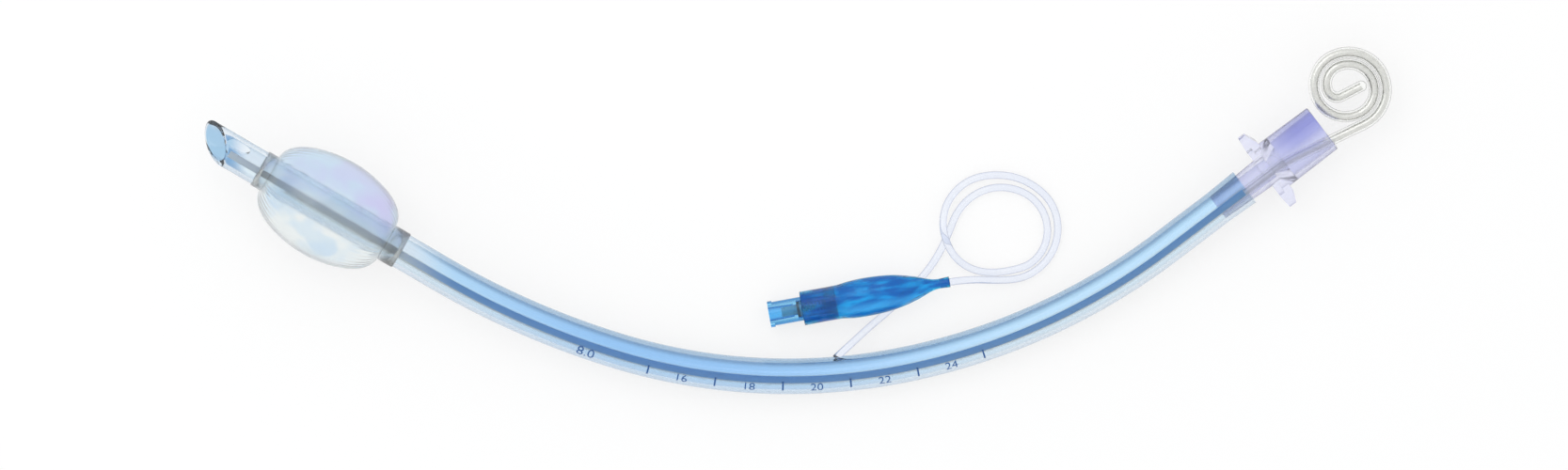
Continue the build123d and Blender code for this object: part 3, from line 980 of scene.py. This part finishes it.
# Painted shade: the bore at the tip, seen through the bevel, is painted a darker blue.
bore_shade = (inside * inside + height * height).ramp(21.5, 20.5)
cast = pvc.mix(cast, paint(120, 172, 216), bore_shade * (lengthways * -1.0).ramp(0.163, 0.169))
# Darker grey blue where the wall is seen along its length, stronger on the inside of the bend: partly the longer path
# through the tinted wall, partly painted shade for dark edges.
edge_tint_and_shade = pvc.rim(0.2, 0.85) * (inside * 0.09 + 0.55)
cast = pvc.mix(cast, paint(150, 180, 206), edge_tint_and_shade)
# Painted shade: grey-blue bands fixed along the edge on the inside of the bend and, fainter, along the outer edge.
cast = pvc.mix(cast, paint(160, 188, 214), inside.ramp(2.4, 4.4) * (1 - tip_share) * 0.85)
cast = pvc.mix(cast, paint(176, 194, 216), (inside * -1.0).ramp(3.4, 5.0) * 0.6)
pvc_cloud = pvc.noise(9 * mm)
pvc.finish(
    Base_Color=cast,
    Roughness=pvc_cloud * 0.04 + 0.02,
    IOR=1.5,
    Transmission_Weight=0.975,
)

# %% Other finishes
film_clear = Recipe("clear blown film")
film_cloud = film_clear.noise(14 * mm)
# Painted shade: the film on the inside of the bend, the side away from the light, is painted bluer with lilac patches,
# and the other side nearly white.
film_side = shaft_offset(film_clear).ramp(-2.0, 8.0)
film_cast = film_clear.mix(paint(232, 245, 255), paint(234, 234, 255), film_cloud.ramp(0.45, 0.62))
lit_side_film_cast = film_clear.mix(paint(252, 255, 255), paint(236, 247, 255), film_cloud.ramp(0.5, 0.6))
film_cast = film_clear.mix(lit_side_film_cast, film_cast, film_side)
# Grey blue where the film is seen along its surface: partly its greater depth there, partly painted shade for dark
# edges.
film_cast = film_clear.mix(film_cast, paint(214, 226, 236), film_clear.rim(0.6, 1.0))
film_clear.finish(
    Base_Color=film_cast,
    Roughness=film_cloud * 0.10 + 0.09,
    IOR=1.5,
    Transmission_Weight=0.95,
)

lilac = Recipe("lilac moulding")
cone_mouth = Vector((155.67, 27.49, 10.07)) * mm
cone_way = Vector((0.795, 0.60471, 0.04792))
cone_side = Vector((-0.60598, 0.78808, 0.10828))
from_mouth = lilac.node("VectorMath", {"operation": "SUBTRACT"}, {0: lilac.place(), 1: tuple(cone_mouth)})
beside = dot(lilac, from_mouth, cone_side / mm)
ahead = dot(lilac, from_mouth, cone_way / mm)
lilac_cast = lilac.mix(paint(240, 242, 254), paint(226, 228, 252), lilac.noise(6 * mm))
lilac_cast = lilac.mix(lilac_cast, paint(196, 200, 242), beside.ramp(-1.5, 2.5) * ahead.ramp(-21.0, -6.0))
# Dark lilac grey where the moulding is seen along its surface: partly the longer path through it, partly painted shade
# for dark edges.
lilac_cast = lilac.mix(lilac_cast, paint(128, 130, 184), lilac.rim(0.25, 0.95))
lilac.finish(
    Base_Color=lilac_cast,
    Roughness=lilac.noise(2 * mm) * 0.08 + 0.08,
    IOR=1.49,
    Transmission_Weight=0.93,
)

sheath = Recipe("clear sheath")
# Painted shade: a dark grey edge where the coiled part of the sheath is seen along its surface.
sheath.finish(
    Base_Color=sheath.mix(
        sheath.mix(paint(255, 255, 254), paint(251, 252, 250), sheath.noise(5 * mm)),
        paint(92, 94, 88),
        sheath.rim(0.3, 0.85) * part_of(sheath, sheath.place(), "X").ramp(0.148, 0.156),
    ),
    Roughness=sheath.noise(3 * mm) * 0.06 + 0.03,
    IOR=1.45,
    Transmission_Weight=0.985,
)

soft_wire = Recipe("drawn aluminium wire")
soft_wire.finish(
    Base_Color=soft_wire.mix(paint(252, 252, 250), paint(244, 244, 242), soft_wire.noise(1 * mm)),
    Roughness=soft_wire.noise(1 * mm) * 0.2 + 0.3,
    Metallic=1.0,
)

line_pvc = Recipe("clear line PVC")
# Grey blue where the line is seen along its surface: partly the longer path through it, partly painted shade for dark
# edges.
line_pvc.finish(
    Base_Color=line_pvc.mix(
        line_pvc.mix(paint(246, 249, 255), paint(234, 240, 254), line_pvc.noise(7 * mm)),
        paint(150, 160, 194),
        line_pvc.rim(0.15, 0.8),
    ),
    Roughness=line_pvc.noise(3 * mm) * 0.06 + 0.04,
    IOR=1.5,
    Transmission_Weight=0.93,
)

balloon_blue = Recipe("blue film")
from_valve = balloon_blue.node(
    "VectorMath", {"operation": "SUBTRACT"}, {0: balloon_blue.place(), 1: tuple(pilot)}
)
along = dot(balloon_blue, from_valve, pilot_axis / mm)
across = dot(balloon_blue, from_valve, pilot_side / mm)
stretched = balloon_blue.node("CombineXYZ", inputs={"X": along * 0.12, "Y": across * 0.5})
streaks = balloon_blue.node("TexNoise", inputs={"Vector": stretched, "Scale": 1.0, "Detail": 3.0})
# Lighter and darker streaks from the same noise that raises the creases: painted light and shade on the creases.
balloon_cast = balloon_blue.mix(paint(0, 158, 224), paint(52, 206, 250), streaks.ramp(0.42, 0.66))
# Painted highlight: a lighter cyan band along one edge of the belly.
lit_edge = across.ramp(-0.8, -3.2) * (1 - across.ramp(-3.6, -5.2)) * along.ramp(17.0, 26.0)
balloon_cast = balloon_blue.mix(balloon_cast, paint(120, 214, 255), lit_edge * 0.8)
# Dark blue where the film is seen along its surface: partly its greater depth there, partly painted shade for dark
# edges.
balloon_cast = balloon_blue.mix(balloon_cast, paint(0, 92, 140), balloon_blue.rim(0.5, 1.0))
balloon_blue.finish(
    Base_Color=balloon_cast,
    Roughness=balloon_blue.noise(4 * mm) * 0.12 + 0.08,
    IOR=1.4,
    Specular_IOR_Level=0.25,
    Transmission_Weight=0.9,
    Normal=balloon_blue.bump(streaks, 0.5 * mm),
)

valve_blue = Recipe("blue moulding")
# Deep blue where the moulding is seen along its surface: partly the longer path through the blue plastic, partly
# painted shade for dark edges.
valve_blue.finish(
    Base_Color=valve_blue.mix(
        valve_blue.mix(paint(150, 218, 250), paint(128, 206, 248), valve_blue.noise(4 * mm)),
        paint(0, 98, 176),
        valve_blue.rim(0.05, 0.5),
    ),
    Roughness=valve_blue.noise(2 * mm) * 0.04 + 0.03,
    IOR=1.49,
    Transmission_Weight=0.96,
)

plunger_white = Recipe("white moulding")
plunger_white.finish(
    Base_Color=plunger_white.mix(paint(255, 254, 246), paint(248, 246, 234), plunger_white.noise(1 * mm)),
    Roughness=plunger_white.noise(1 * mm) * 0.2 + 0.35,
)

seal_rubber = Recipe("moulded elastomer")
seal_rubber.finish(
    Base_Color=seal_rubber.mix(paint(70, 70, 74), paint(58, 58, 62), seal_rubber.noise(1 * mm)),
    Roughness=seal_rubber.noise(1 * mm) * 0.2 + 0.6,
)

spring_steel = Recipe("spring wire")
spring_steel.finish(
    Base_Color=spring_steel.mix(paint(200, 200, 200), paint(180, 180, 182), spring_steel.noise(1 * mm)),
    Roughness=spring_steel.noise(1 * mm) * 0.1 + 0.22,
    Metallic=1.0,
)

stripe = Recipe("blue stripe plastic")
toward_tip = (part_of(stripe, stripe.place(), "X") * -1.0).ramp(0.100, 0.122)
stripe_cast = stripe.mix(paint(108, 172, 232), paint(120, 182, 240), stripe.noise(6 * mm))
stripe_cast = stripe.mix(stripe_cast, paint(222, 234, 246), toward_tip)
stripe.finish(
    Base_Color=stripe_cast,
    Roughness=stripe.noise(2 * mm) * 0.1 + 0.45,
)

ink_blue = Recipe("blue ink")
ink_blue.finish(
    Base_Color=ink_blue.mix(paint(24, 76, 140), paint(40, 96, 164), ink_blue.noise(0.6 * mm)),
    Roughness=ink_blue.noise(1 * mm) * 0.2 + 0.4,
)

# %% Put the finishes on
node_finishes = {
    "connector": lilac,
    "stylet_sheath": sheath,
    "stylet_wire": soft_wire,
    "valve_housing": valve_blue,
    "valve_base": valve_blue,
    "valve_plunger": plunger_white,
    "valve_seal": seal_rubber,
}
for name, recipe in node_finishes.items():
    nodes[name].material_slots[0].material = recipe.material
for piece, recipe in (
    (clear_shaft, pvc),
    (inflation_tubing, line_pvc),
    (cuff_film, film_clear),
    (balloon_film, balloon_blue),
    (spring_coil, spring_steel),
):
    piece.data.materials.append(recipe.material)
for number in numbers:
    number.data.materials.clear()
    number.data.materials.append(ink_blue.material)
for piece, stand_in, recipe in (
    (radiopaque_line, stripe_plastic, stripe),
    (depth_ticks, ink, ink_blue),
):
    piece.data.materials.clear()
    piece.data.materials.append(recipe.material)
    bpy.data.materials.remove(stand_in)
print("finishes on", len(node_finishes) + 5, "pieces")

# %% [markdown]
# ## Floor and light
#
# The tube lies on a plain white sheet under even light. The world is a white dome, and one
# large lamp on the left gives the film and the plastic their soft highlights.

# %% Floor and light
floor_mesh = bpy.data.meshes.new("floor")
floor_half = 3.0
floor_mesh.from_pydata(
    [(x * floor_half, y * floor_half, -0.02 * mm) for x, y in ((-1, -1), (1, -1), (1, 1), (-1, 1))],
    [],
    [(0, 1, 2, 3)],
)
floor = bpy.data.objects.new("floor", floor_mesh)
scene.collection.objects.link(floor)
paper = Recipe("white sheet")
paper.finish(
    Base_Color=paper.mix(paint(254, 254, 254), paint(252, 253, 254), paper.noise(0.2)),
    Roughness=0.9,
    Specular_IOR_Level=0.0,
)
glow = paper.tree.nodes.new("ShaderNodeEmission")
rays = paper.tree.nodes.new("ShaderNodeLightPath")
share = None
for ray, level in (("Is Camera Ray", 0.75), ("Is Transmission Ray", 0.85), ("Is Glossy Ray", 0.85)):
    here = Value(paper, rays.outputs[ray]) * level
    share = share + here if share else here
blend = paper.tree.nodes.new("ShaderNodeMixShader")
paper.tree.links.new(share.socket, blend.inputs[0])
paper.tree.links.new(paper.shader.outputs[0], blend.inputs[1])
paper.tree.links.new(glow.outputs[0], blend.inputs[2])
paper.tree.links.new(blend.outputs[0], paper.output.inputs["Surface"])
floor_mesh.materials.append(paper.material)

world = bpy.data.worlds.new("studio")
world.use_nodes = True
scene.world = world
background = world.node_tree.nodes["Background"]
light_path = world.node_tree.nodes.new("ShaderNodeLightPath")
links = world.node_tree.links
strength = None
for ray, level in (("Is Camera Ray", 1.0), ("Is Transmission Ray", 1.0), ("Is Glossy Ray", 0.9)):
    chosen = world.node_tree.nodes.new("ShaderNodeMix")
    chosen.inputs[2].default_value = 0.92
    if strength:
        links.new(strength, chosen.inputs[2])
    chosen.inputs[3].default_value = level
    links.new(light_path.outputs[ray], chosen.inputs[0])
    strength = chosen.outputs[0]
links.new(strength, background.inputs["Strength"])
background.inputs["Color"].default_value = (1, 1, 1, 1)

lamp_data = bpy.data.lights.new("soft_box", "AREA")
lamp_data.shape = "RECTANGLE"
lamp_data.size = 0.7
lamp_data.size_y = 0.5
lamp_data.energy = 1.0
lamp = bpy.data.objects.new("soft_box", lamp_data)
scene.collection.objects.link(lamp)
lamp.location = (-0.25, 0.3, 0.7)
lamp.rotation_euler = (-lamp.location).to_track_quat("-Z", "Y").to_euler()
scene.view_settings.view_transform = "Standard"
print("floor and light ready")
